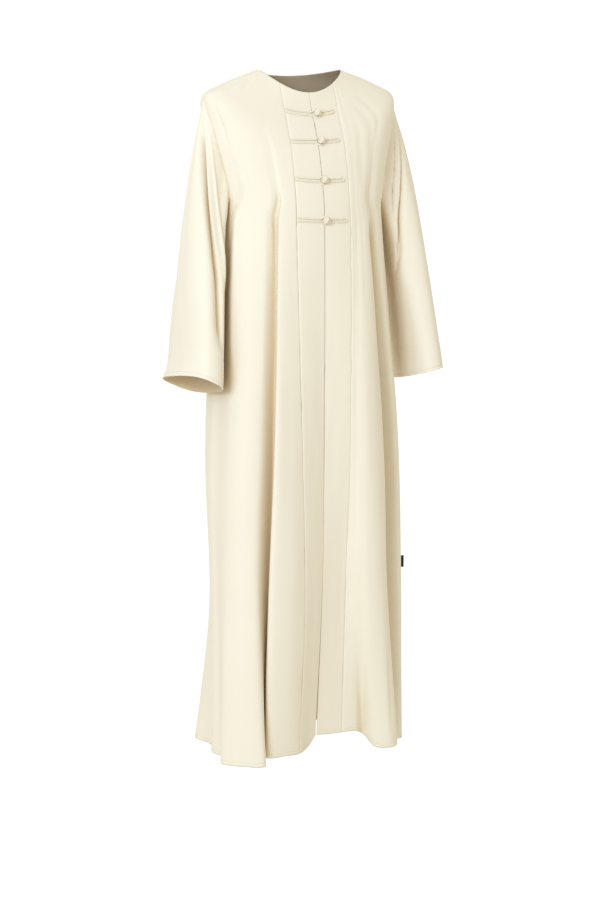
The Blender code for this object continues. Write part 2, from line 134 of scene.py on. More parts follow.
WALK = (
    Line("opening right", 0, 0.000, 0.000, -0.140, 0.000, -0.129, -0.001, -0.099, -1.350),
    Line("corner right", 7, 0.001, -0.026, -0.149, -0.024, -0.144, -0.022, -0.108, -1.373),
    Line("seam right", 17, 0.003, -0.055, -0.159, -0.050, -0.159, -0.050, -0.127, -1.379),
    Line("ridge A", 23.5, 0.006, -0.083, -0.167, -0.088, -0.173, -0.084, -0.140, -1.378),
    Line("edge A", 28.5, 0.006, -0.117, -0.168, -0.130, -0.168, -0.124, -0.137, -1.379),
    Line("valley A", 32.0, -0.009, -0.105, -0.128, -0.112, -0.122, -0.126, -0.107, -1.377),
    Line("crest B", 38.5, 0.003, -0.143, -0.148, -0.152, -0.154, -0.141, -0.167, -1.388),
    Line("face B", 52, 0.008, -0.170, -0.138, -0.179, -0.141, -0.186, -0.145, -1.388),
    Line("turn B", 66, 0.010, -0.189, -0.104, -0.199, -0.104, -0.211, -0.106, -1.389),
    Line("notch", 74, -0.001, -0.190, -0.035, -0.191, -0.042, -0.194, -0.066, -1.386),
    Line("dip right", 81, 0.000, -0.193, -0.005, -0.192, -0.010, -0.200, -0.026, -1.385),
    Line("side right", 90, 0.000, -0.187, 0.035, -0.180, 0.035, -0.181, 0.030, -1.384),
    Line("crest C", 106, 0.000, -0.168, 0.088, -0.158, 0.089, -0.191, 0.100, -1.383),
    Line("turn C", 120, 0.000, -0.130, 0.118, -0.128, 0.120, -0.158, 0.138, -1.380),
    Line("valley C", 136, -0.002, -0.090, 0.118, -0.092, 0.108, -0.112, 0.098, -1.376),
    Line("crest D", 156, 0.002, -0.048, 0.140, -0.052, 0.150, -0.058, 0.154, -1.375),
    Line("centre back", 180, -0.002, 0.000, 0.124, 0.000, 0.116, 0.002, 0.108, -1.372),
    Line("crest E", 204, 0.002, 0.050, 0.140, 0.055, 0.150, 0.062, 0.154, -1.374),
    Line("valley F", 226, -0.002, 0.100, 0.116, 0.105, 0.108, 0.115, 0.100, -1.377),
    Line("crest G", 242, 0.000, 0.145, 0.112, 0.155, 0.118, 0.165, 0.135, -1.380),
    Line("turn G", 256, 0.000, 0.186, 0.060, 0.199, 0.066, 0.207, 0.078, -1.382),
    Line("side left", 270, 0.000, 0.205, -0.026, 0.217, -0.028, 0.214, -0.020, -1.383),
    Line("flank left", 309, 0.000, 0.1935, -0.069, 0.1995, -0.070, 0.208, -0.070, -1.383),
    Line("valley H", 317, -0.013, 0.150, -0.048, 0.154, -0.042, 0.180, -0.076, -1.385),
    Line("edge J", 327, 0.004, 0.141, -0.117, 0.150, -0.121, 0.183, -0.103, -1.384),
    Line("ridge J", 332, 0.005, 0.117, -0.144, 0.127, -0.146, 0.160, -0.126, -1.386),
    Line("rise J", 336, 0.004, 0.091, -0.153, 0.094, -0.149, 0.128, -0.112, -1.385),
    Line("pocket", 338.5, 0.002, 0.076, -0.150, 0.078, -0.138, 0.112, -0.084, -1.364),
    Line("floor", 340.5, 0.002, 0.066, -0.146, 0.066, -0.128, 0.092, -0.096, -1.353),
    Line("seam left", 343, 0.002, 0.056, -0.143, 0.055, -0.121, 0.058, -0.097, -1.352),
    Line("corner left", 353, 0.001, 0.027, -0.141, 0.027, -0.123, 0.026, -0.098, -1.3525),
    Line("opening left", 360, 0.000, 0.000, -0.140, 0.000, -0.128, 0.001, -0.098, -1.351),
)


class Side(Enum):
    """The cloak's own two sides, with the sign of X there."""

    RIGHT = -1
    LEFT = 1


class Edge(Enum):
    """What a panel's long edge is: sewn to a neighbour, or the free edge of the front opening."""

    SEWN = "sewn"
    OPENING = "opening"


def hermite(start: Points, end: Points, leaving: Points, arriving: Points,
            part: Points) -> Points:
    """Return the points some part of the way along cubic curves, from their ends and slopes."""
    a = 2 * (start - end) + leaving + arriving
    b = 3 * (end - start) - 2 * leaving - arriving
    return ((a * part + b) * part + leaving) * part + start


def smooth_through(points: Points, places: Points) -> Points:
    """Follow a smooth curve through points.

    Args:
        points: The points along the first axis, and any others beside them.
        places: Where to read the curve, counted in points.

    Returns:
        The curve's points, with the places along the first axis.
    """
    last = len(points) - 1
    start = np.clip(places.astype(int), 0, last - 1)
    part = (places - start).reshape((-1,) + (1,) * (points.ndim - 1))
    p1 = points[start]
    p2 = points[start + 1]
    first = (start > 0).reshape(part.shape)
    after = (start + 2 <= last).reshape(part.shape)
    p0 = np.where(first, points[np.maximum(start - 1, 0)], 2 * p1 - p2)
    p3 = np.where(after, points[np.minimum(start + 2, last)], 2 * p2 - p1)

    def knot(a: Points, b: Points) -> Points:
        """Return the centripetal step between two points."""
        return np.sqrt(np.maximum(np.linalg.norm(b - a, axis=-1, keepdims=True), SLACK))

    d1, d2, d3 = knot(p0, p1), knot(p1, p2), knot(p2, p3)
    m1 = d2 * ((p1 - p0) / d1 - (p2 - p0) / (d1 + d2)) + (p2 - p1)
    m2 = d2 * ((p3 - p2) / d3 - (p3 - p1) / (d2 + d3)) + (p2 - p1)
    return hermite(p1, p2, m1, m2, part)


def line_index(name: str) -> int:
    """Return the place of a named line in the walk round the skirt."""
    return [line.name for line in WALK].index(name)


def bell(distance: Points, width: float) -> Points:
    """Return a soft hump of height 1 at no distance."""
    return np.exp(-np.square(distance / width))


def ease(part: Points) -> Points:
    """Return a smooth step from 0 at 0 to 1 at 1."""
    return part * part * (3 - 2 * part)


def reach_along(points: Points, axis: int = 0) -> Points:
    """Return each point's distance from the first one, along an axis of a path or grid."""
    steps = np.linalg.norm(np.diff(points, axis=axis), axis=-1)
    return np.insert(np.cumsum(steps, axis=axis), 0, 0.0, axis=axis)


def read_at(places: Points, marks: Points, values: Points) -> Points:
    """Return the rows of values, known at marks, that lie at places between them."""
    return np.stack([np.interp(places, marks, column) for column in values.T], axis=-1)


def soft_noise(u: Points, v: Points, seed: int) -> Points:
    """Return smooth noise between -1 and 1 on a lattice of unit cells.

    Args:
        u: The first coordinate, in cells.
        v: The second coordinate, in cells.
        seed: Which noise.

    Returns:
        The noise at each pair of coordinates.
    """
    size = 128
    lattice = np.random.default_rng(seed).uniform(-1, 1, (size, size))
    i = np.floor(u).astype(int)
    j = np.floor(v).astype(int)
    a = ease(u - i)
    b = ease(v - j)
    i0, i1, j0, j1 = i % size, (i + 1) % size, j % size, (j + 1) % size
    top = lattice[i0, j0] * (1 - a) + lattice[i1, j0] * a
    low = lattice[i0, j1] * (1 - a) + lattice[i1, j1] * a
    return top * (1 - b) + low * b


@dataclass(frozen=True)
class DrapedForm:
    """The surface that the panels are cut from: columns down the body, sections round it."""

    yoke: tuple[Ring, ...] = YOKE
    walk: tuple[Line, ...] = WALK
    lift_power: int = 3

    def ring_points(self, ring: Ring, angles: Points, lift: Points) -> Points:
        """Return the points of a yoke ring.

        Args:
            ring: The ring.
            angles: Where on it, in degrees from the front opening.
            lift: How far each point stands off the ring.

        Returns:
            One point for each angle.
        """
        turn = np.radians(angles)
        front = np.cos(turn) >= 0.0
        depth = np.where(front, ring.front_depth, ring.back_depth)
        level = np.where(front, ring.front_level, ring.back_level)
        across = np.copysign(np.abs(np.sin(turn)) ** ring.power, -np.sin(turn))
        along = np.copysign(np.abs(np.cos(turn)) ** ring.power, -np.cos(turn))
        reach = np.where(front, depth + SIDE_Y, depth - SIDE_Y)
        x = (ring.half_width + lift) * across
        slope = SHOULDER_TILT * max(0.0, 1.0 + ring.side_level / -self.yoke[UNDERARM].side_level)
        z = level + (ring.side_level - level) * np.sin(turn) ** 2 + slope * x
        return np.stack((x, SIDE_Y + (reach + lift) * along, z), axis=-1)

    def fitted_angles(self, ring: Ring, angles: Points, on_back: bool) -> Points:
        """Squeeze angles of the bust ring between a ring's band seam and armhole."""
        half = np.where(angles <= 180, angles, 360 - angles)
        if on_back:
            fitted = 180 - (180 - half) * ring.back_cut / 90
        else:
            seam = math.degrees(math.asin((BAND_WIDTH / ring.half_width) ** (1 / ring.power)))
            beyond = seam + (half - SEAM_ANGLE) / (90 - SEAM_ANGLE) * (ring.front_cut - seam)
            fitted = np.where(half <= SEAM_ANGLE, seam * half / SEAM_ANGLE, beyond)
        return np.where(angles <= 180, fitted, 360 - fitted)

    def surface(self, positions: Points, places: Points, on_back: bool = False) -> Points:
        """Return the draped surface.

        Args:
            positions: Where round the walk each column is, counted in lines.
            places: Where down the columns each row is, counted in control sections.
            on_back: Whether the columns end at the armhole's back edge.

        Returns:
            The points as rows and columns.
        """
        numbers = np.arange(len(self.walk))
        angles = np.interp(positions, numbers, [line.angle for line in self.walk])
        stand = np.interp(positions, numbers, [line.bust_out for line in self.walk])
        controls = []
        for number, ring in enumerate(self.yoke):
            fitted = self.fitted_angles(ring, angles, on_back)
            lift = stand * (number / BUST) ** self.lift_power
            controls.append(self.ring_points(ring, fitted, lift))
        hip = np.array([(line.hip_x, line.hip_y, HIP_LEVEL) for line in self.walk])
        knee = np.array([(line.knee_x, line.knee_y, KNEE_LEVEL) for line in self.walk])
        hem = np.array([(line.hem_x, line.hem_y, line.hem_z) for line in self.walk])
        for section in (hip, knee, hem):
            controls.append(smooth_through(section, positions))
        return smooth_through(np.stack(controls), places)


@dataclass(frozen=True)
class RowPlan:
    """How many rows of the fine cloth lie between the control sections."""

    neck: int = 32
    armhole: int = 57
    skirt: tuple[int, ...] = (7, 62, 44, 47)
    hem_rows: int = 8
    hem_share: float = 0.10

    def armhole_places(self) -> Points:
        """Return the rows' places from the shoulder tip to the underarm."""
        return np.linspace(TIP, UNDERARM, self.armhole + 1)

    def places(self) -> Points:
        """Return every row's place, from the neck to the hem, finer just above the hem."""
        places = [np.linspace(0, TIP, self.neck + 1), self.armhole_places()[1:]]
        for number, count in enumerate(self.skirt):
            start = UNDERARM + number
            places.append(np.linspace(start, start + 1, count + 1)[1:])
        joined = np.concatenate(places)
        end = joined[-1]
        kept = joined[joined < end - self.hem_share - 1e-9]
        return np.concatenate((kept, np.linspace(end - self.hem_share, end, self.hem_rows + 1)))


ROWS = RowPlan()
FORM = DrapedForm()


@dataclass
class Cloth:
    """A grid of cloth points, from which its lengths and normals are measured."""

    points: Points

    def across(self) -> Points:
        """Return each point's distance along its row from the first column."""
        return reach_along(self.points, 1)

    def down(self) -> Points:
        """Return each point's distance along its column from the first row."""
        return reach_along(self.points, 0)

    def normals(self) -> Points:
        """Return the outward normals."""
        along = np.gradient(self.points, axis=1)
        below = np.gradient(self.points, axis=0)
        normal = np.cross(along, below)
        return normal / np.maximum(np.linalg.norm(normal, axis=2, keepdims=True), 1e-12)

    def area(self) -> float:
        """Return the cloth's area in square metres."""
        right = np.diff(self.points, axis=1)[:-1]
        below = np.diff(self.points, axis=0)[:, :-1]
        return float(np.linalg.norm(np.cross(right, below), axis=2).sum())

    def pushed(self, shift: Points) -> "Cloth":
        """Return the cloth pushed out along its normals."""
        return Cloth(self.points + self.normals() * shift[..., None])


class Crease(NamedTuple):
    """A soft fold: the places round and down the cloth that it runs through, and its section.

    On a panel the places are lines of the walk and control sections. On a sleeve they are degrees
    from its outer side and fractions of its length. The widths are metres before and after the
    fold's middle, and the fold fades out over a length in the units of its path.
    """

    path: tuple[tuple[float, float], ...]
    depth: float
    before: float
    after: float
    fade: float = 0.2


def crease_shift(creases: Iterable[Crease], across: Points, rounds: Points, downs: Points,
                 closed: bool = False) -> Points:
    """Return how far creases push a cloth out.

    Args:
        creases: The creases.
        across: Each point's distance along its row.
        rounds: Each column's place round the cloth.
        downs: Each row's place down the cloth.
        closed: Whether each row meets itself.

    Returns:
        The shift of every point along its normal.
    """
    shift = np.zeros(across.shape)
    girth = across[:, -1:]
    for crease in creases:
        marks = np.array(sorted(crease.path, key=lambda mark: mark[1]))
        where = np.interp(downs, marks[:, 1], marks[:, 0])
        centre = [np.interp(place, rounds, row) for place, row in zip(where, across)]
        distance = across - np.array(centre)[:, None]
        if closed:
            distance = (distance + girth / 2) % girth - girth / 2
        width = np.where(distance < 0, crease.before, crease.after)
        near = np.clip((downs - marks[0, 1]) / crease.fade, 0, 1)
        far = np.clip((marks[-1, 1] - downs) / crease.fade, 0, 1)
        shift += crease.depth * bell(distance, width) * (ease(near) * ease(far))[:, None]
    return shift


def add_object(name: str, data: bpy.types.ID) -> bpy.types.Object:
    """Put data into the scene as a new object."""
    made = bpy.data.objects.new(name, data)
    bpy.context.scene.collection.objects.link(made)
    return made


def link(name: str, work: bmesh.types.BMesh, finish: bpy.types.Material) -> bpy.types.Object:
    """Put a bmesh into the scene as a smooth-shaded object, and free it."""
    mesh = bpy.data.meshes.new(name)
    work.to_mesh(mesh)
    work.free()
    mesh.shade_smooth()
    mesh.materials.append(finish)
    return add_object(name, mesh)


def into_frame(piece: bpy.types.Object, node: str | None = None) -> None:
    """Attach a piece to the root body, and hide the model's node that it stands for, if it has one.
    """
    if node:
        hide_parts(node)
    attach(piece, "root")


def set_sockets(node: bpy.types.Node, values: dict[str, object]) -> None:
    """Set constants on a node's inputs."""
    for socket, value in values.items():
        node.inputs[socket].default_value = value


def new_material(name: str) -> tuple[bpy.types.Material, bpy.types.Node]:
    """Return a new material and its shader."""
    made = bpy.data.materials.new(name)
    made.use_nodes = True
    return made, made.node_tree.nodes["Principled BSDF"]


@dataclass(frozen=True)
class PlainFinish:
    """A plain matt finish with a fine grain, for cords, thread, tape and the floor."""

    name: str
    colour: Triple
    roughness: float = 0.7
    grain: float = 900.0
    bump: float = 0.2
    detail: float = 2.0

    def noise(self, tree: bpy.types.NodeTree, scale: float, detail: float) -> bpy.types.NodeSocket:
        """Return a noise that is read in the piece's own coordinates."""
        place = tree.nodes.new("ShaderNodeTexCoord")
        made = tree.nodes.new("ShaderNodeTexNoise")
        set_sockets(made, {"Scale": scale, "Detail": detail})
        tree.links.new(place.outputs["Object"], made.inputs["Vector"])
        return made.outputs["Fac"]

    def build(self) -> bpy.types.Material:
        """Return the material."""
        made, shader = new_material(self.name)
        tree = made.node_tree
        set_sockets(shader, {"Base Color": (*self.colour, 1.0), "Roughness": self.roughness,
                             "Specular IOR Level": SPECULAR})
        bump = tree.nodes.new("ShaderNodeBump")
        set_sockets(bump, {"Strength": self.bump, "Distance": GRAIN_HEIGHT})
        tree.links.new(self.noise(tree, self.grain, self.detail), bump.inputs["Height"])
        tree.links.new(bump.outputs["Normal"], shader.inputs["Normal"])
        return made


@dataclass(frozen=True)
class ClothFinish(PlainFinish):
    """A woven cloth with a pebbled crepe grain, its painted shade in the folds, its sheen and its
    mottle.
    """

    roughness: float = 0.78
    grain: float = 1500.0
    bump: float = 0.12
    detail: float = 3.0
    # Painted shade: the darker colour that the cloth is mixed towards in folds and shut-in places.
    shade: Triple = (0.74, 0.60, 0.40)
    sheen: float = 0.25
    sheen_roughness: float = 0.45
    sheen_tint: Triple = (1.0, 0.97, 0.90)
    mottle: float = 0.02
    mottle_scale: float = 9.0

    def build(self) -> bpy.types.Material:
        """Return the cloth's material."""
        made = super().build()
        tree = made.node_tree
        shader = tree.nodes["Principled BSDF"]
        set_sockets(shader, {"Sheen Weight": self.sheen, "Sheen Roughness": self.sheen_roughness,
                             "Sheen Tint": (*self.sheen_tint, 1.0)})
        # Painted shade: the fold attribute mixes the base colour towards the shade colour.
        fold = tree.nodes.new("ShaderNodeAttribute")
        fold.attribute_name = "fold"
        painted_shade_mix = tree.nodes.new("ShaderNodeMix")
        painted_shade_mix.data_type = "RGBA"
        set_sockets(painted_shade_mix, {"A": (*self.colour, 1.0), "B": (*self.shade, 1.0)})
        tree.links.new(fold.outputs["Fac"], painted_shade_mix.inputs["Factor"])
        value = tree.nodes.new("ShaderNodeMapRange")
        set_sockets(value, {"To Min": 1.0 - self.mottle, "To Max": 1.0 + self.mottle})
        tree.links.new(self.noise(tree, self.mottle_scale, 2.0), value.inputs["Value"])
        mottled = tree.nodes.new("ShaderNodeVectorMath")
        mottled.operation = "SCALE"
        tree.links.new(painted_shade_mix.outputs["Result"], mottled.inputs[0])
        tree.links.new(value.outputs["Result"], mottled.inputs["Scale"])
        tree.links.new(mottled.outputs["Vector"], shader.inputs["Base Color"])
        return made


@dataclass
class Wardrobe:
    """The finishes of the cloak, each made once."""

    crepe: bpy.types.Material = field(default_factory=lambda: ClothFinish(
        "crepe", (0.83, 0.765, 0.615)).build())
    # Painted shade: a darker copy of the crepe for the shells' inner faces, with a still darker shade
    # colour in its folds.
    inside: bpy.types.Material = field(default_factory=lambda: ClothFinish(
        "crepe inner face with painted shade", (0.72, 0.58, 0.38), shade=(0.60, 0.42, 0.23)).build())
    cord: bpy.types.Material = field(default_factory=lambda: PlainFinish(
        "rolled cord", (0.80, 0.735, 0.58)).build())
    thread: bpy.types.Material = field(default_factory=lambda: PlainFinish(
        "thread", (0.66, 0.58, 0.42), 0.5, 3000.0).build())
    tape: bpy.types.Material = field(default_factory=lambda: PlainFinish(
        "black tape", (0.012, 0.012, 0.013), 0.55, 2500.0, 0.5).build())


def fold_depth(cloth: Cloth) -> Points:
    """Return how deep in a fold each point lies, from 0 on the open cloth to 1 in a valley, for
    painted shade.
    """
    column = float(np.diff(cloth.across(), axis=1).mean())
    reach = max(2, round(FOLD_BREADTH / column))
    points = np.pad(cloth.points, ((0, 0), (reach, reach), (0, 0)), mode="edge")
    total = np.cumsum(np.pad(points, ((0, 0), (1, 0), (0, 0))), axis=1)
    mean = (total[:, 2 * reach + 1:] - total[:, :-2 * reach - 1]) / (2 * reach + 1)
    hollow = ((mean - cloth.points) * cloth.normals()).sum(axis=2)
    return np.clip(hollow / FOLD_DEEP, 0.0, 1.0)


def shell(name: str, cloth: Cloth, wardrobe: Wardrobe, thickness: float = CLOTH,
          closed: bool = False, shade: Points | None = None) -> bpy.types.Object:
    """Make a thin cloth shell on a grid.

    Args:
        name: The object's name.
        cloth: The cloth's middle surface.
        wardrobe: The finishes; the crepe is outside, and within is its darker copy, which paints
            shade on the inner face.
        thickness: The shell's thickness.
        closed: Whether the last column meets the first.
        shade: How shut in each point is, for painted shade; a share of its fold depth is added to it.

    Returns:
        The shell, with its UV map in metres and its amount of painted shade as the fold attribute.
    """
    rows, columns = cloth.points.shape[:2]
    work = bmesh.new()
    bmesh.ops.create_grid(work, x_segments=columns - 1, y_segments=rows - 1, size=1.0)
    # The fold attribute carries how much painted shade each point gets.
    painted_shade_layer = work.verts.layers.float.new("fold")
    depth = fold_depth(cloth)
    if shade is not None:
        depth = np.clip(PAINTED_FOLD_SHARE * depth + shade, 0.0, 1.0)
    for vertex, point, fold in zip(work.verts, cloth.points.reshape(-1, 3), depth.reshape(-1)):
        vertex.co = point
        vertex[painted_shade_layer] = fold
    along = cloth.across().reshape(-1)
    below = cloth.down().reshape(-1)
    chart = work.loops.layers.uv.new("cloth")
    for face in work.faces:
        for loop in face.loops:
            number = loop.vert.index
            loop[chart].uv = (along[number], -below[number])
    if closed:
        bmesh.ops.remove_doubles(work, verts=work.verts, dist=WELD)
    made = link(name, work, wardrobe.crepe)
    # The inner face takes the darker copy of the crepe, with painted shade.
    made.data.materials.append(wardrobe.inside)
    wall = made.modifiers.new("wall", "SOLIDIFY")
    wall.thickness = thickness
    wall.offset = 0.0
    wall.material_offset = 1
    return made


@dataclass
class Surroundings:
    """The cloak's cloths together, for painted shade: rays from each point find how closely other
    cloth shuts it in, and that darkens its colour.

    Each ring of rays has its tilt from the normal, its number of rays and its first ray's turn.
    """

    cloths: Sequence[Cloth]
    reach: float = 0.16
    clearance: float = 0.0012
    row_step: int = 3
    column_step: int = 2
    open_share: float = 0.20
    closed_share: float = 0.95
    ray_rings: tuple[tuple[int, int, int], ...] = ((24, 4, 0), (45, 5, 20), (66, 6, 50))
    tree: BVHTree = field(init=False)

    def __post_init__(self) -> None:
        """Gather all the cloths' faces into one search tree."""
        corners: list[Points] = []
        faces: list[Points] = []
        count = 0
        for cloth in self.cloths:
            rows, columns = cloth.points.shape[:2]
            number = np.arange(rows * columns).reshape(rows, columns) + count
            count += rows * columns
            corners.append(cloth.points.reshape(-1, 3))
            faces.append(np.stack((number[:-1, :-1], number[:-1, 1:], number[1:, 1:],
                                   number[1:, :-1]), axis=-1).reshape(-1, 4))
        self.tree = BVHTree.FromPolygons(np.concatenate(corners).tolist(),
                                         np.concatenate(faces).tolist())

    def directions(self) -> Points:
        """Return evenly weighted directions over the half space above a level surface."""
        made = []
        for tilt, count, start in self.ray_rings:
            rise = math.radians(tilt)
            for turn in np.radians(start + np.arange(count) * 360 / count):
                made.append((math.sin(rise) * math.cos(turn), math.sin(rise) * math.sin(turn),
                             math.cos(rise)))
        return np.array(made)

    def shade(self, cloth: Cloth, normals: Points) -> Points:
        """Return how shut in each point of a cloth is, from 0 in the open to 1 in a deep fold, as
        painted shade.

        Args:
            cloth: The cloth.
            normals: Its outward normals.

        Returns:
            One value for each point.
        """
        rows, columns = cloth.points.shape[:2]
        row_marks = np.unique(np.append(np.arange(0, rows, self.row_step), rows - 1))
        column_marks = np.unique(np.append(np.arange(0, columns, self.column_step), columns - 1))
        found = np.zeros((len(row_marks), len(column_marks)))
        rays = self.directions()
        for i, row in enumerate(row_marks):
            for j, column in enumerate(column_marks):
                up = normals[row, column]
                side = np.cross(up, (0.0, 0.0, 1.0))
                side /= max(np.linalg.norm(side), SLACK)
                frame = np.stack((side, np.cross(up, side), up))
                start = Vector(cloth.points[row, column] + up * self.clearance)
                hits = [self.tree.ray_cast(start, Vector(ray), self.reach)[3] for ray in rays @ frame]
                found[i, j] = np.mean([0.0 if hit is None else 1 - hit / self.reach for hit in hits])
        down = read_at(np.arange(rows), row_marks, found)
        whole = read_at(np.arange(columns), column_marks, down.T).T
        # Scaled to the amount of painted shade that the fold attribute carries.
        return np.clip((whole - self.open_share) / (self.closed_share - self.open_share), 0.0, 1.0)


@dataclass
class Stitching:
    """Rows of machine stitches, gathered into one mesh."""

    name: str
    finish: bpy.types.Material
    pitch: float = 0.0036
    length: float = 0.0028
    width: float = 0.00090
    height: float = 0.00045
    work: bmesh.types.BMesh = field(default_factory=bmesh.new)
    count: int = 0

    def along(self, points: Points, normals: Points) -> None:
        """Sew a row of stitches.

        Args:
            points: The row's path on the cloth's middle surface.
            normals: The cloth's outward normals there.
        """
        reach = reach_along(points)
        marks = np.arange(self.pitch, reach[-1] - self.pitch, self.pitch)
        place = read_at(marks, reach, points)
        ahead = read_at(marks + self.length / 2, reach, points)
        size = Matrix.Diagonal((self.length / 2, self.width / 2, self.height, 1.0))
        for centre, tip, up in zip(place, ahead, read_at(marks, reach, normals)):
            run = Vector(tip - centre).normalized()
            top = Vector(up)
            top = (top - top.dot(run) * run).normalized()
            turn = Matrix((run, top.cross(run), top)).transposed().to_4x4()
            where = Matrix.Translation(Vector(centre) + top * CLOTH / 2)
            bmesh.ops.create_icosphere(self.work, subdivisions=1, radius=1.0,
                                       matrix=where @ turn @ size)
            self.count += 1


class Press(NamedTuple):
    """A soft line along the cloth: its height, below zero where it is pressed in, and its width."""

    height: float
    width: float

    def at(self, distance: Points) -> Points:
        """Return the line's height at distances from it."""
        return self.height * bell(distance, self.width)


class Ripple(NamedTuple):
    """A slight unevenness of the cloth: its height, its cells' size across and down, its seed."""

    height: float
    across: float
    down: float
    seed: int

    def at(self, across: Points, down: Points) -> Points:
        """Return the unevenness at places across and down the cloth."""
        return self.height * soft_noise(across / self.across + NOISE_START,
                                        down / self.down + NOISE_START, self.seed)


@dataclass
class Piece:
    """A cut piece of cloth, with its turned hem and its row of stitches."""

    name: str
    flat: tuple[float, float]
    creases: tuple[Crease, ...]
    hem_depth: float = field(default=0.022, kw_only=True)
    stitch_rise: float = field(default=0.009, kw_only=True)
    closed: bool = field(default=False, kw_only=True)
    cloth: Cloth = field(init=False)

    def normals(self) -> Points:
        """Return the cloth's outward normals."""
        return self.cloth.normals()

    def shown(self) -> Cloth:
        """Return the cloth that the shell is made on."""
        return self.cloth

    def hem_row(self, rise: Points) -> int:
        """Return the first row of the turned hem, from the rows' heights above the rim."""
        return int(np.argmin(np.abs(rise - self.hem_depth)))

    def dress(self, wardrobe: Wardrobe, stitches: Stitching, around: Surroundings) -> None:
        """Make the piece's shell and its turned hem, and sew the row of stitches.

        Args:
            wardrobe: The finishes.
            stitches: The stitching that the hem's row is sewn into.
            around: The cloths that shade it.
        """
        points = self.cloth.points
        normals = self.normals()
        # The shell's colour takes painted shade from its folds and from the cloth around it.
        made = shell(f"{self.name}_cloth", self.shown(), wardrobe, closed=self.closed,
                     shade=around.shade(self.cloth, normals))
        into_frame(made, self.name)
        down = self.cloth.down()
        rise = (down[-1:] - down).mean(axis=1)
        inner = slice(None) if self.closed else slice(1, -1)
        first = self.hem_row(rise)
        strip = Cloth(points[first:, inner] - normals[first:, inner] * CLOTH * HEM_SETBACK)
        allowance = shell(f"{self.name}_hem", strip, wardrobe, CLOTH * HEM_SHARE, self.closed)
        into_frame(allowance)
        row = int(np.argmin(np.abs(rise - self.stitch_rise)))
        stitches.along(points[row, inner], normals[row, inner])
        log.info("%s: area %.3f m2", made.name, self.cloth.area())
        self.cloth.area()


@dataclass
class Panel(Piece):
    """A sewn panel of the body, between two lines of the walk."""

    first: str
    last: str
    first_edge: Edge = Edge.SEWN
    last_edge: Edge = Edge.SEWN
    on_back: bool = False
    per_line: int = 9
    finer_steps: tuple[float, ...] = (0.12, 0.3, 0.6)
    line_pitch: float = 0.045
    ripples: tuple[Ripple, ...] = (Ripple(0.0009, 0.055, 0.34, 11),
                                   Ripple(0.000315, 0.024, 0.11, 12))
    calm_level: float = -0.15
    calm_fade: float = 0.3
    calm_share: float = 0.25
    seam: Press = Press(-0.0011, 0.0016)
    pucker: Press = Press(0.0006, 0.011)
    pucker_pitch: float = 0.021
    opening: Press = Press(-0.0004, 0.0010)
    hem_stitch: Press = Press(-0.0005, 0.0022)
    hem_roll: Press = Press(0.0004, 0.004)
    hem_wave: Press = Press(0.0011, 0.030)
    wave_pitch: float = 0.034

    def positions(self) -> Points:
        """Return the columns' positions, finer beside the long edges."""
        start = line_index(self.first)
        end = line_index(self.last)
        even = np.linspace(start, end, (end - start) * self.per_line + 1)
        steps = (even[1] - even[0]) * np.array(self.finer_steps)
        return np.sort(np.concatenate((even, start + steps, end - steps)))

    def edge_shift(self, cloth: Cloth) -> Points:
        """Return how far the seams and hems press the cloth in or hold it out."""
        across = cloth.across()
        down = cloth.down()
        shift = np.zeros(across.shape)
        long_edges = ((self.first_edge, across, 1), (self.last_edge, across[:, -1:] - across, 2))
        for edge, distance, seed in long_edges:
            if edge is Edge.SEWN:
                along = soft_noise(down / self.pucker_pitch, distance * 0 + seed, 40 + seed)
                shift += self.seam.at(distance) + along * self.pucker.at(distance)
            else:
                shift += self.opening.at(distance)
        hem = down[-1:] - down
        wave = soft_noise(across / self.wave_pitch, hem * 0 + 3, 71)
        return (shift + self.hem_stitch.at(hem - self.stitch_rise)
                + self.hem_roll.at(hem - self.stitch_rise / 2) + wave * self.hem_wave.at(hem))

    def drape_shift(self, cloth: Cloth) -> Points:
        """Return the panel's slight unevenness, which is calmer at the yoke."""
        around = np.broadcast_to(self.positions() * self.line_pitch, cloth.points.shape[:2])
        level = cloth.points[..., 2]
        fade = np.clip((self.calm_level - level) / self.calm_fade, self.calm_share, 1.0)
        return sum(ripple.at(around, level) for ripple in self.ripples) * fade

    def build(self) -> None:
        """Shape the panel's cloth, with its creases, seams and hem."""
        plain = Cloth(FORM.surface(self.positions(), ROWS.places(), self.on_back))
        creased = crease_shift(self.creases, plain.across(), self.positions(), ROWS.places())
        self.cloth = plain.pushed(creased + self.drape_shift(plain) + self.edge_shift(plain))

    def shown(self) -> Cloth:
        """Return the cloth drawn in beside its long edges, for the seam or opening gap."""
        points = self.cloth.points.copy()
        for edge, neighbour, kind in ((0, 1, self.first_edge), (-1, -2, self.last_edge)):
            gap = OPENING_GAP if kind is Edge.OPENING else SEAM_GAP
            step = self.cloth.points[:, neighbour] - self.cloth.points[:, edge]
            length = np.linalg.norm(step, axis=1, keepdims=True)
            points[:, edge] += step / length * gap / 2
        return Cloth(points)

    def hem_row(self, rise: Points) -> int:
        """Return the first row of the turned hem, from the rows' heights above the rim."""
        return int(np.argmax(rise < self.hem_depth))


@dataclass(frozen=True)
class Cuff:
    """The lower rim of a sleeve and how the sleeve reaches it."""

    x: float
    y: float
    level: float
    half_length: float
    half_width: float
    turn: float
    front_rise: float
    outer_rise: float
    power: float
    lip: float
    swing: float


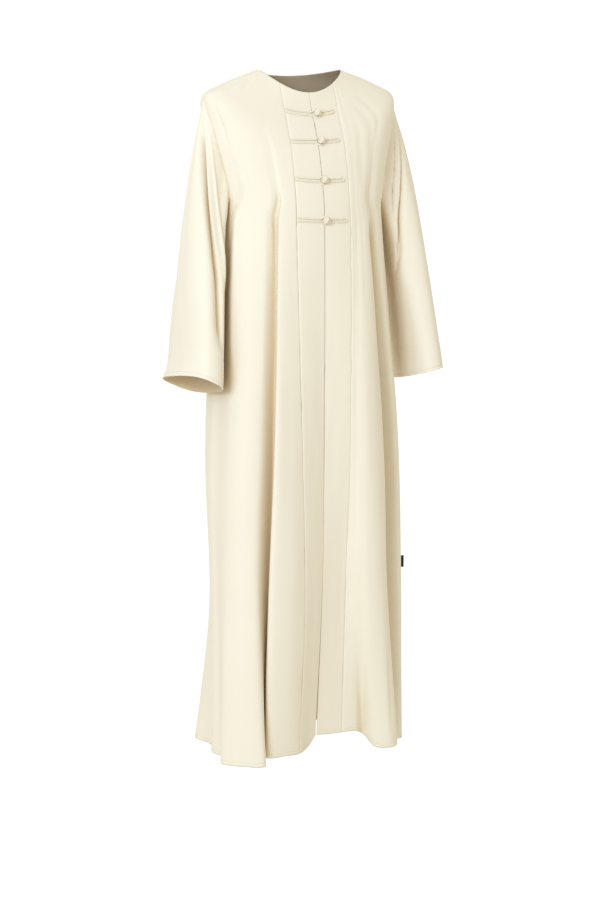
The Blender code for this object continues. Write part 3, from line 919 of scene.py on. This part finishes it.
@dataclass
class Sleeve(Piece):
    """A wide set-in sleeve, from its armhole to its open cuff."""

    side: Side
    cuff: Cuff
    rows: int = 100
    finer_rows: tuple[float, ...] = (0.003, 0.006, 0.975, 0.985, 0.994, 0.997)
    columns_per_row: int = 2
    tuck: float = 0.0003
    start_slope: tuple[float, float] = (-0.04, -0.96)
    end_slope: Triple = (0.10, -0.13, -0.98)
    spread: float = 0.10
    lip_turn: float = 315.0
    lip_start: float = 0.92
    armhole_seam: Press = Press(-0.0006, 0.0020)
    stitch_line: Press = Press(-0.0005, 0.0020)
    hem_top: Press = Press(-0.0004, 0.0030)
    hem_lift: float = 0.0003
    hem_step: float = 0.004
    drape: float = 0.0012
    drape_cells: int = 9
    drape_length: float = 0.16
    crinkle: float = 0.0004
    crinkle_cells: int = 22
    crinkle_length: float = 0.055
    fade_length: float = 0.05
    noise_start: int = 20
    side_offset: int = 7
    hem_depth: float = field(default=0.055, kw_only=True)
    stitch_rise: float = field(default=0.0065, kw_only=True)
    closed: bool = field(default=True, kw_only=True)

    def rim(self, count: int) -> Points:
        """Return the cuff's rim, from its outer side over the front to the inner side."""
        cuff = self.cuff
        turn = math.radians(cuff.turn)
        angle = np.linspace(0, 2 * math.pi, count + 1)
        outer = np.copysign(np.abs(np.cos(angle)) ** cuff.power, np.cos(angle))
        front = np.copysign(np.abs(np.sin(angle)) ** cuff.power, np.sin(angle))
        across = cuff.half_width * outer
        along = cuff.half_length * front
        sign = self.side.value
        return np.stack((
            cuff.x + sign * (across * math.cos(turn) - along * math.sin(turn)),
            cuff.y - along * math.cos(turn) - across * math.sin(turn),
            cuff.level + cuff.front_rise * front + cuff.outer_rise * outer,
        ), axis=1)

    def places(self) -> Points:
        """Return the rows' fractions down the sleeve, finer near the armhole and the rim."""
        even = np.linspace(0, 1, self.rows + 1)
        return np.union1d(even, self.finer_rows)

    def build(self, front_edge: Points, back_edge: Points) -> None:
        """Shape the sleeve's cloth, with its last column on its first.

        Args:
            front_edge: The armhole's front edge, from the shoulder tip to the underarm.
            back_edge: The armhole's back edge, from the shoulder tip to the underarm.
        """
        sign = self.side.value
        loop = np.concatenate((front_edge, back_edge[::-1][1:]))
        marks = np.arange(0, len(loop) - 1 + WELD, 1 / self.columns_per_row)
        armhole = smooth_through(loop, marks) - np.array((sign * self.tuck, 0, 0))
        rim = self.rim(len(armhole) - 1)
        length = np.linalg.norm(rim - armhole, axis=1)[:, None]
        spread = (rim - rim[:-1].mean(axis=0)) / self.cuff.half_length
        start = np.array((sign * self.cuff.swing, *self.start_slope)) + self.spread * spread
        end = np.array(self.end_slope) * (sign, 1, 1)
        part = self.places()[:, None, None]
        points = hermite(armhole, rim, start * length, end * length, part)
        turn = np.linspace(0, 360, len(armhole))
        angle = np.radians(turn)
        outward = np.stack((sign * np.cos(angle), -np.sin(angle), 0 * angle), axis=1)
        shift = crease_shift(self.creases, Cloth(points).across(), turn, self.places(), closed=True)
        shift = shift + self.lip_shift(turn, self.places()[:, None])
        points = points + shift[..., None] * outward
        self.cloth = Cloth(points[:, ::-1] if self.side is Side.RIGHT else points)
        fine = self.normals() * self.fine_shift()[..., None]
        self.cloth = Cloth(self.cloth.points + fine)

    def lip_shift(self, turn: Points, part: Points) -> Points:
        """Return how far the rim's lip flares out behind."""
        across = np.maximum(0.0, np.cos(np.radians(turn - self.lip_turn)))
        down = np.maximum(0.0, part - self.lip_start) / (1.0 - self.lip_start)
        return self.cuff.lip * across * down * down

    def normals(self) -> Points:
        """Return the cloth's outward normals, made to agree where the tube closes."""
        normals = self.cloth.normals()
        seam = normals[:, 0] + normals[:, -1]
        seam = seam / np.linalg.norm(seam, axis=1, keepdims=True)
        normals[:, 0] = seam
        normals[:, -1] = seam
        return normals

    def fine_shift(self) -> Points:
        """Return the armhole's tuck, the hem's fold and stitch line and a slight unevenness."""
        down = self.cloth.down()
        rise = down[-1:] - down
        turn = np.broadcast_to(np.linspace(0, 1, down.shape[1]), down.shape)
        wrap = np.sin(math.pi * turn) ** 2
        shift = (self.armhole_seam.at(down) + self.stitch_line.at(rise - self.stitch_rise)
                 + self.hem_top.at(rise - self.hem_depth)
                 + self.hem_lift * np.clip((self.hem_depth - rise) / self.hem_step, 0, 1))
        start = self.noise_start
        level = start + self.side.value * self.side_offset
        long = soft_noise(turn * self.drape_cells + start, down / self.drape_length + level, 33)
        short = soft_noise(turn * self.crinkle_cells + start,
                           down / self.crinkle_length + 2 * start, 34)
        fade = np.clip(down / self.fade_length, 0, 1)
        return shift + (self.drape * long + self.crinkle * short) * wrap * fade


class FrogPlace(NamedTuple):
    """A fastening: the level of its knot, the knot's shift to the left and its end's drop."""

    level: float
    knot_shift: float
    end_drop: float


@dataclass
class Frog:
    """A knotted cord fastening: a loop on one band, and a tail with its knot on the other."""

    number: int
    place: FrogPlace
    right_band: Cloth
    left_band: Cloth
    cord_radius: float = 0.0016
    cord_spacing: float = 0.0060
    cord_lift: float = -0.0005
    knot_radius: float = 0.0072
    knot_cord: float = 0.0016
    knot_points: int = 120
    knot_turns: int = 3
    knot_waves: int = 4
    knot_ripples: int = 12
    knot_tilt: float = 62.0
    sunk_share: float = 0.8
    ripple_share: float = 0.25
    core_share: float = 0.9
    loop_radius: float = 0.0080
    loop_reach: float = 0.0575
    loop_mouth: float = 10.0
    loop_points: int = 30
    run_points: int = 14
    tail_reach: float = 0.047
    tail_turn: tuple[float, ...] = (60, 30, 0, -30, -60)

    def on_band(self, level: float, x: float, rise: float) -> Points:
        """Return the point above the bands at a level and a distance from the opening."""
        band = self.left_band if x > 0 else self.right_band
        heights = band.points[:, 0, 2]
        row = float(np.interp(-level, -heights, np.arange(len(heights))))
        whole = min(int(row), len(heights) - 2)
        part = row - whole
        section = band.points[whole] * (1 - part) + band.points[whole + 1] * part
        reach = reach_along(section)
        distance = min(abs(x), reach[-1])
        out = read_at(distance, reach, band.normals()[whole])
        if out[1] > 0:
            out = -out
        height = CLOTH / 2 + self.cord_lift + rise
        return read_at(distance, reach, section) + out / np.linalg.norm(out) * height

    def run(self, start: float, end: float, side: float) -> list[Points]:
        """Return a run of the loop's cord along the right band, above or below its middle."""
        path = []
        for x in np.linspace(start, end, self.run_points):
            level = self.place.level - self.place.end_drop * (x / self.loop_reach) ** 2
            path.append(self.on_band(level + side, x, self.cord_radius))
        return path

    def arc(self, middle: float, radius: float, angles: Iterable[float]) -> list[Points]:
        """Return an arc of cord about a point on the knot's level."""
        path = []
        for turn in np.radians(angles):
            x = middle + radius * math.cos(turn)
            level = self.place.level + radius * math.sin(turn)
            path.append(self.on_band(level, x, self.cord_radius))
        return path

    def loop_path(self) -> list[Points]:
        """Return the loop's path: along the right band, round the knot and back."""
        half = self.cord_spacing / 2
        opening = math.degrees(math.asin(half / self.loop_radius)) + self.loop_mouth
        angles = np.linspace(180 - opening, opening - 180, self.loop_points)
        return (self.run(-self.loop_reach, -self.loop_radius, half)
                + self.arc(self.place.knot_shift, self.loop_radius, angles)
                + self.run(-self.loop_radius, -self.loop_reach, -half))

    def tail_path(self) -> list[Points]:
        """Return the tail's path: from the knot along the left band, round its end and back."""
        half = self.cord_spacing / 2
        start = self.place.knot_shift + self.knot_radius / 2
        run = np.linspace(start, self.tail_reach - half, self.run_points)
        upper = [self.on_band(self.place.level + half, x, self.cord_radius) for x in run]
        lower = [self.on_band(self.place.level - half, x, self.cord_radius) for x in run[::-1]]
        return upper + self.arc(self.tail_reach - half, half, self.tail_turn) + lower

    def knot_path(self, centre: Points) -> list[Points]:
        """Return the closed path of the cord that is plaited into the knot's ball."""
        path = []
        ball = self.knot_radius - self.knot_cord * self.sunk_share
        for part in np.linspace(0, 2 * math.pi, self.knot_points, endpoint=False):
            turn = self.knot_turns * part
            rise = math.radians(self.knot_tilt) * math.sin(self.knot_waves * part)
            lift = self.ripple_share * self.knot_cord * math.cos(self.knot_ripples * part)
            reach = ball + lift
            path.append(centre + reach * np.array((
                math.cos(rise) * math.cos(turn),
                math.cos(rise) * math.sin(turn),
                math.sin(rise),
            )))
        return path

    def cord(self, name: str, path: Sequence[Points], finish: bpy.types.Material,
             radius: float, closed: bool) -> bpy.types.Object:
        """Return a round cord along a path.

        Args:
            name: The object's name.
            path: The points that it follows.
            finish: Its material.
            radius: Its own radius.
            closed: Whether it meets itself.

        Returns:
            The cord as a mesh.
        """
        curve = bpy.data.curves.new(name, "CURVE")
        curve.dimensions = "3D"
        curve.bevel_depth = radius
        curve.bevel_resolution = 2
        curve.use_fill_caps = True
        run = curve.splines.new("POLY")
        run.points.add(len(path) - 1)
        for target, point in zip(run.points, path):
            target.co = (*point, 1.0)
        run.use_cyclic_u = closed
        curve.materials.append(finish)
        rough = add_object(name + "_path", curve)
        graph = bpy.context.evaluated_depsgraph_get()
        mesh = bpy.data.meshes.new_from_object(rough.evaluated_get(graph), depsgraph=graph)
        bpy.data.objects.remove(rough, do_unlink=True)
        mesh.name = name
        mesh.shade_smooth()
        return add_object(name, mesh)

    def dress(self, wardrobe: Wardrobe) -> None:
        """Make the fastening's loop, its tail and its knot with the ball inside."""
        name = f"frog_{self.number}"
        centre = self.on_band(self.place.level, self.place.knot_shift, self.knot_radius)
        for part, path, radius in (("loop", self.loop_path(), self.cord_radius),
                                   ("tail", self.tail_path(), self.cord_radius),
                                   ("knot", self.knot_path(centre), self.knot_cord)):
            made = self.cord(f"{name}_{part}_cord", path, wardrobe.cord, radius, part == "knot")
            into_frame(made, f"{name}_{part}")
        work = bmesh.new()
        bmesh.ops.create_uvsphere(work, u_segments=24, v_segments=14,
                                  radius=self.knot_radius - self.knot_cord * self.core_share)
        bmesh.ops.translate(work, verts=work.verts, vec=centre)
        into_frame(link(f"{name}_knot_core", work, wardrobe.cord))


@dataclass
class SeamTab:
    """The folded black tab in the left side seam."""

    panel: Cloth
    level: float = -1.015
    reach: float = 0.013
    thickness: float = 0.0012
    height: float = 0.025
    stand_off: float = 0.0009
    rounding: float = 0.0004
    column_step: int = 9

    def dress(self, wardrobe: Wardrobe) -> None:
        """Make the tab: a bare strip of tape folded double, standing out of the seam."""
        row = int(np.argmin(np.abs(self.panel.points[:, 0, 2] - self.level)))
        seam = self.panel.points[row, 0]
        along = self.panel.points[row, self.column_step] - seam
        out = Vector((-along[1], along[0], 0.0)).normalized()
        if out.x < 0:
            out = -out
        centre = Vector((seam[0], seam[1], self.level)) + out * (self.stand_off + self.reach / 2)
        turn = Matrix.Rotation(math.atan2(out.y, out.x), 4, "Z")
        size = Matrix.Diagonal((self.reach, self.thickness, self.height, 1.0))
        work = bmesh.new()
        bmesh.ops.create_cube(work, size=1.0, matrix=Matrix.Translation(centre) @ turn @ size)
        bmesh.ops.bevel(work, geom=work.edges, offset=self.rounding, offset_type="OFFSET",
                        affect="EDGES", segments=2, profile=0.5, material=-1)
        into_frame(link("seam_tab_tape", work, wardrobe.tape), "seam_tab")


class Lamp(NamedTuple):
    """A soft square light: its name, place, width, power in watts and colour."""

    name: str
    place: Triple
    size: float
    power: float
    colour: Triple


@dataclass
class Studio:
    """The floor, the white surround, the lights and the camera."""

    yaw: float = 22.8
    pitch: float = 6.2
    distance: float = 4.36
    eye_level: float = -0.30
    offset: float = 0.00513
    lens: float = 85.0
    sensor: float = 36.0
    lamps: tuple[Lamp, ...] = (
        Lamp("key", (-2.95, -2.65, 0.8), 1.6, 102.0, (0.64, 0.77, 1.0)),
        Lamp("back", (2.1, 3.6, 0.5), 2.4, 78.0, (0.60, 0.74, 1.0)),
    )
    aim: Triple = (0.0, 0.0, -0.65)
    ambient: Triple = (1.0, 0.966, 0.874)
    ambient_strength: float = 0.82
    floor_colour: Triple = (0.10, 0.10, 0.10)
    floor_glow: float = 0.95
    floor_radius: float = 24.0
    dome_glow: float = 1.05
    dome_radius: float = 25.0

    def camera(self) -> None:
        """Place the camera."""
        yaw = math.radians(self.yaw)
        right = Vector((math.cos(yaw), -math.sin(yaw), 0.0))
        ahead = Vector((math.sin(yaw), math.cos(yaw), 0.0))
        data = bpy.data.cameras.new("camera")
        data.lens = self.lens
        data.sensor_width = self.sensor
        data.dof.use_dof = False
        made = add_object("camera", data)
        made.location = -self.distance * ahead + Vector((0, 0, self.eye_level)) + self.offset * right
        pitch = math.radians(self.pitch)
        look = ahead * math.cos(pitch) - Vector((0, 0, 1)) * math.sin(pitch)
        made.rotation_euler = look.to_track_quat("-Z", "Y").to_euler()
        bpy.context.scene.camera = made

    def place_lamp(self, lamp: Lamp) -> None:
        """Place a lamp so that it faces the cloak's middle."""
        data = bpy.data.lights.new(lamp.name, "AREA")
        data.shape = "SQUARE"
        data.size = lamp.size
        data.energy = lamp.power
        data.color = lamp.colour
        made = add_object(lamp.name, data)
        made.location = lamp.place
        aim = Vector(self.aim) - Vector(lamp.place)
        made.rotation_euler = aim.to_track_quat("-Z", "Y").to_euler()

    def surround(self) -> None:
        """Make the pale floor and a white surround that only the camera sees."""
        work = bmesh.new()
        bmesh.ops.create_circle(work, cap_ends=True, radius=self.floor_radius, segments=96)
        bmesh.ops.translate(work, verts=work.verts, vec=(0, 0, FLOOR_LEVEL))
        pale = PlainFinish("pale floor", self.floor_colour, 0.9, 40.0, 0.0).build()
        set_sockets(pale.node_tree.nodes["Principled BSDF"],
                    {"Emission Color": WHITE, "Emission Strength": self.floor_glow})
        floor = link("floor", work, pale)
        work = bmesh.new()
        bmesh.ops.create_uvsphere(work, u_segments=64, v_segments=32, radius=self.dome_radius)
        white, shader = new_material("white surround")
        set_sockets(shader, {"Base Color": (0.0, 0.0, 0.0, 1.0), "Specular IOR Level": 0.0,
                             "Emission Color": WHITE, "Emission Strength": self.dome_glow})
        dome = link("surround", work, white)
        dome.visible_shadow = False
        for piece in (floor, dome):
            piece.visible_diffuse = False
            piece.visible_glossy = False

    def build(self) -> None:
        """Make the whole studio."""
        scene = bpy.context.scene
        scene.view_settings.view_transform = "Standard"
        scene.view_settings.look = "None"
        world = bpy.data.worlds.new("studio light")
        world.use_nodes = True
        set_sockets(world.node_tree.nodes["Background"],
                    {"Color": (*self.ambient, 1.0), "Strength": self.ambient_strength})
        scene.world = world
        self.camera()
        self.surround()
        for lamp in self.lamps:
            self.place_lamp(lamp)


FROG_PLACES = (
    FrogPlace(-0.092, 0.009, 0.000),
    FrogPlace(-0.147, 0.006, 0.003),
    FrogPlace(-0.224, 0.003, -0.002),
    FrogPlace(-0.303, 0.002, -0.002),
)

CREASES_FRONT_RIGHT = (
    Crease(((5.1, 5.3), (5.1, 6.5), (5.1, 7.4), (5.0, 8.6)), -0.0040, 0.008, 0.006, 0.9),
    Crease(((9.2, 0.9), (8.6, 2.6)), -0.0022, 0.0040, 0.0050, 0.6),
    Crease(((7.9, 0.6), (7.4, 2.0)), -0.0016, 0.0040, 0.0050, 0.5),
    Crease(((8.3, 2.2), (8.8, 3.4), (9.0, 4.6)), -0.0030, 0.0050, 0.0060, 0.8),
)
CREASES_FRONT_LEFT = (
    Crease(((24.1, 1.4), (23.6, 3.2), (23.2, 4.8)), -0.0012, 0.0090, 0.0080, 1.2),
    Crease(((23.2, 1.2), (22.9, 2.8), (22.6, 4.2)), -0.0013, 0.0080, 0.0070, 1.0),
    Crease(((25.4, 2.4), (24.8, 4.2), (24.4, 5.8)), -0.0016, 0.0100, 0.0090, 1.4),
    Crease(((24.7, 10.3), (24.9, 10.8), (25.0, 11.0)), -0.0030, 0.0050, 0.0040, 0.25),
    Crease(((23.1, 6.9), (23.15, 8.4), (23.2, 9.4), (23.1, 10.2)), -0.0150, 0.0100, 0.0160, 1.6),
)
CREASES_BACK = (
    Crease(((12.5, 3.8), (13.1, 5.2), (13.5, 6.4)), -0.0026, 0.0080, 0.0080, 0.9),
    Crease(((13.1, 6.4), (13.4, 8.0), (13.7, 9.6), (13.9, 11.0)), -0.0060, 0.0120, 0.0100, 1.2),
    Crease(((14.9, 6.4), (14.8, 8.6), (14.7, 11.0)), 0.0040, 0.0100, 0.0080, 1.2),
    Crease(((15.7, 5.2), (15.9, 7.4), (15.8, 9.6)), -0.0050, 0.0090, 0.0120, 1.0),
    Crease(((17.3, 6.0), (17.2, 8.2), (17.4, 11.0)), -0.0065, 0.0110, 0.0090, 1.0),
    Crease(((18.6, 7.0), (18.4, 9.2), (18.2, 11.0)), 0.0035, 0.0120, 0.0090, 1.0),
    Crease(((19.4, 4.9), (19.2, 7.2), (19.0, 9.4)), -0.0052, 0.0090, 0.0110, 1.2),
    Crease(((20.2, 3.6), (19.7, 5.0), (19.1, 6.0)), -0.0024, 0.0080, 0.0070, 0.8),
)
CREASES_RIGHT = (
    Crease(((14, 0.04), (32, 0.16), (51, 0.27), (66, 0.34), (84, 0.43), (98, 0.53), (104, 0.68),
            (110, 0.86)), -0.0175, 0.0150, 0.0105, 0.14),
    Crease(((38, 0.02), (70, 0.12), (98, 0.26), (118, 0.36), (132, 0.52)), 0.0040, 0.0110, 0.0080,
           0.10),
    Crease(((140, 0.10), (146, 0.30), (140, 0.50)), -0.0060, 0.0140, 0.0140, 0.15),
    Crease(((225, 0.06), (238, 0.30), (250, 0.66)), -0.0070, 0.0180, 0.0140, 0.20),
    Crease(((292, 0.04), (285, 0.26), (300, 0.52)), -0.0060, 0.0120, 0.0180, 0.16),
    Crease(((330, 0.20), (322, 0.48), (334, 0.80)), -0.0035, 0.0160, 0.0180, 0.20),
)
CREASES_LEFT = (
    Crease(((8, 0.03), (34, 0.115), (66, 0.180), (94, 0.235), (126, 0.31), (162, 0.44)), -0.0120,
           0.0260, 0.0060, 0.16),
    Crease(((30, 0.015), (58, 0.08), (96, 0.14), (124, 0.20)), -0.0040, 0.0070, 0.0070, 0.05),
    Crease(((222, 0.05), (236, 0.28), (228, 0.60)), -0.0070, 0.0160, 0.0180, 0.20),
    Crease(((300, 0.05), (290, 0.30), (306, 0.58)), -0.0060, 0.0150, 0.0130, 0.18),
    Crease(((336, 0.24), (330, 0.50), (338, 0.84)), -0.0030, 0.0160, 0.0160, 0.22),
)
CUFF_RIGHT = Cuff(-0.2380, -0.036, -0.628, 0.105, 0.037, 1.5, 0.0095, 0.018, 0.78, 0.010, 0.21)
CUFF_LEFT = Cuff(0.2555, -0.040, -0.617, 0.100, 0.034, 5.0, 0.011, 0.009, 0.84, 0.000, 0.33)


def body_panels() -> tuple[Panel, ...]:
    """Return the body's panels, in order round it."""
    band = (0.090, 1.36)
    front = (0.38, 1.42)
    return (
        Panel("band_right", band, (), "opening right", "seam right", first_edge=Edge.OPENING),
        Panel("front_right", front, CREASES_FRONT_RIGHT, "seam right", "side right"),
        Panel("back", (0.75, 1.43), CREASES_BACK, "side right", "side left", on_back=True),
        Panel("front_left", front, CREASES_FRONT_LEFT, "side left", "seam left"),
        Panel("band_left", band, (), "seam left", "opening left", last_edge=Edge.OPENING),
    )


def both_sleeves() -> tuple[Sleeve, Sleeve]:
    """Return the right sleeve and the left one."""
    return (Sleeve("sleeve_right", (0.56, 0.62), CREASES_RIGHT, Side.RIGHT, CUFF_RIGHT),
            Sleeve("sleeve_left", (0.53, 0.62), CREASES_LEFT, Side.LEFT, CUFF_LEFT))


@dataclass
class Cloak:
    """The whole garment."""

    wardrobe: Wardrobe
    panels: tuple[Panel, ...] = field(default_factory=body_panels)
    sleeves: tuple[Sleeve, Sleeve] = field(default_factory=both_sleeves)

    def shared_seam(self, one: Panel, one_column: int, other: Panel, other_column: int) -> None:
        """Give two panels one side seam, except along the armhole between them."""
        first = one.cloth.points[:, one_column]
        second = other.cloth.points[:, other_column]
        places = ROWS.places()
        sewn = (places <= TIP + SLACK) | (places >= UNDERARM - SLACK)
        middle = (first + second) / 2
        first[sewn] = middle[sewn]
        second[sewn] = middle[sewn]

    def armhole(self, panel: Panel, column: int) -> Points:
        """Return a panel's armhole edge, from the shoulder tip to the underarm."""
        places = ROWS.places()
        rows = (places >= TIP - SLACK) & (places <= UNDERARM + SLACK)
        return panel.cloth.points[rows, column]

    def build(self) -> None:
        """Shape and dress every piece."""
        band_right, front_right, back, front_left, band_left = self.panels
        for panel in self.panels:
            panel.build()
        self.shared_seam(front_right, -1, back, 0)
        self.shared_seam(front_left, 0, back, -1)
        self.sleeves[0].build(self.armhole(front_right, -1), self.armhole(back, 0))
        self.sleeves[1].build(self.armhole(front_left, 0), self.armhole(back, -1))
        pieces = (*self.panels, *self.sleeves)
        around = Surroundings([piece.cloth for piece in pieces])
        stitches = Stitching("hem_stitches", self.wardrobe.thread)
        for piece in pieces:
            piece.dress(self.wardrobe, stitches, around)
            log.info("made %s", piece.name)
        into_frame(link(stitches.name, stitches.work, stitches.finish))
        log.info("sewed %d stitches", stitches.count)
        left_band = Cloth(band_left.cloth.points[:, ::-1])
        for number, place in enumerate(FROG_PLACES, 1):
            Frog(number, place, band_right.cloth, left_band).dress(self.wardrobe)
            log.info("made frog %d", number)
        SeamTab(front_left.cloth).dress(self.wardrobe)
        log.info("made the seam tab")


def main() -> None:
    """Load the frame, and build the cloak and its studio."""
    logging.basicConfig(level=logging.INFO, format="%(name)s: %(message)s")
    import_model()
    Studio().build()
    Cloak(Wardrobe()).build()


if __name__ == "__main__":
    main()
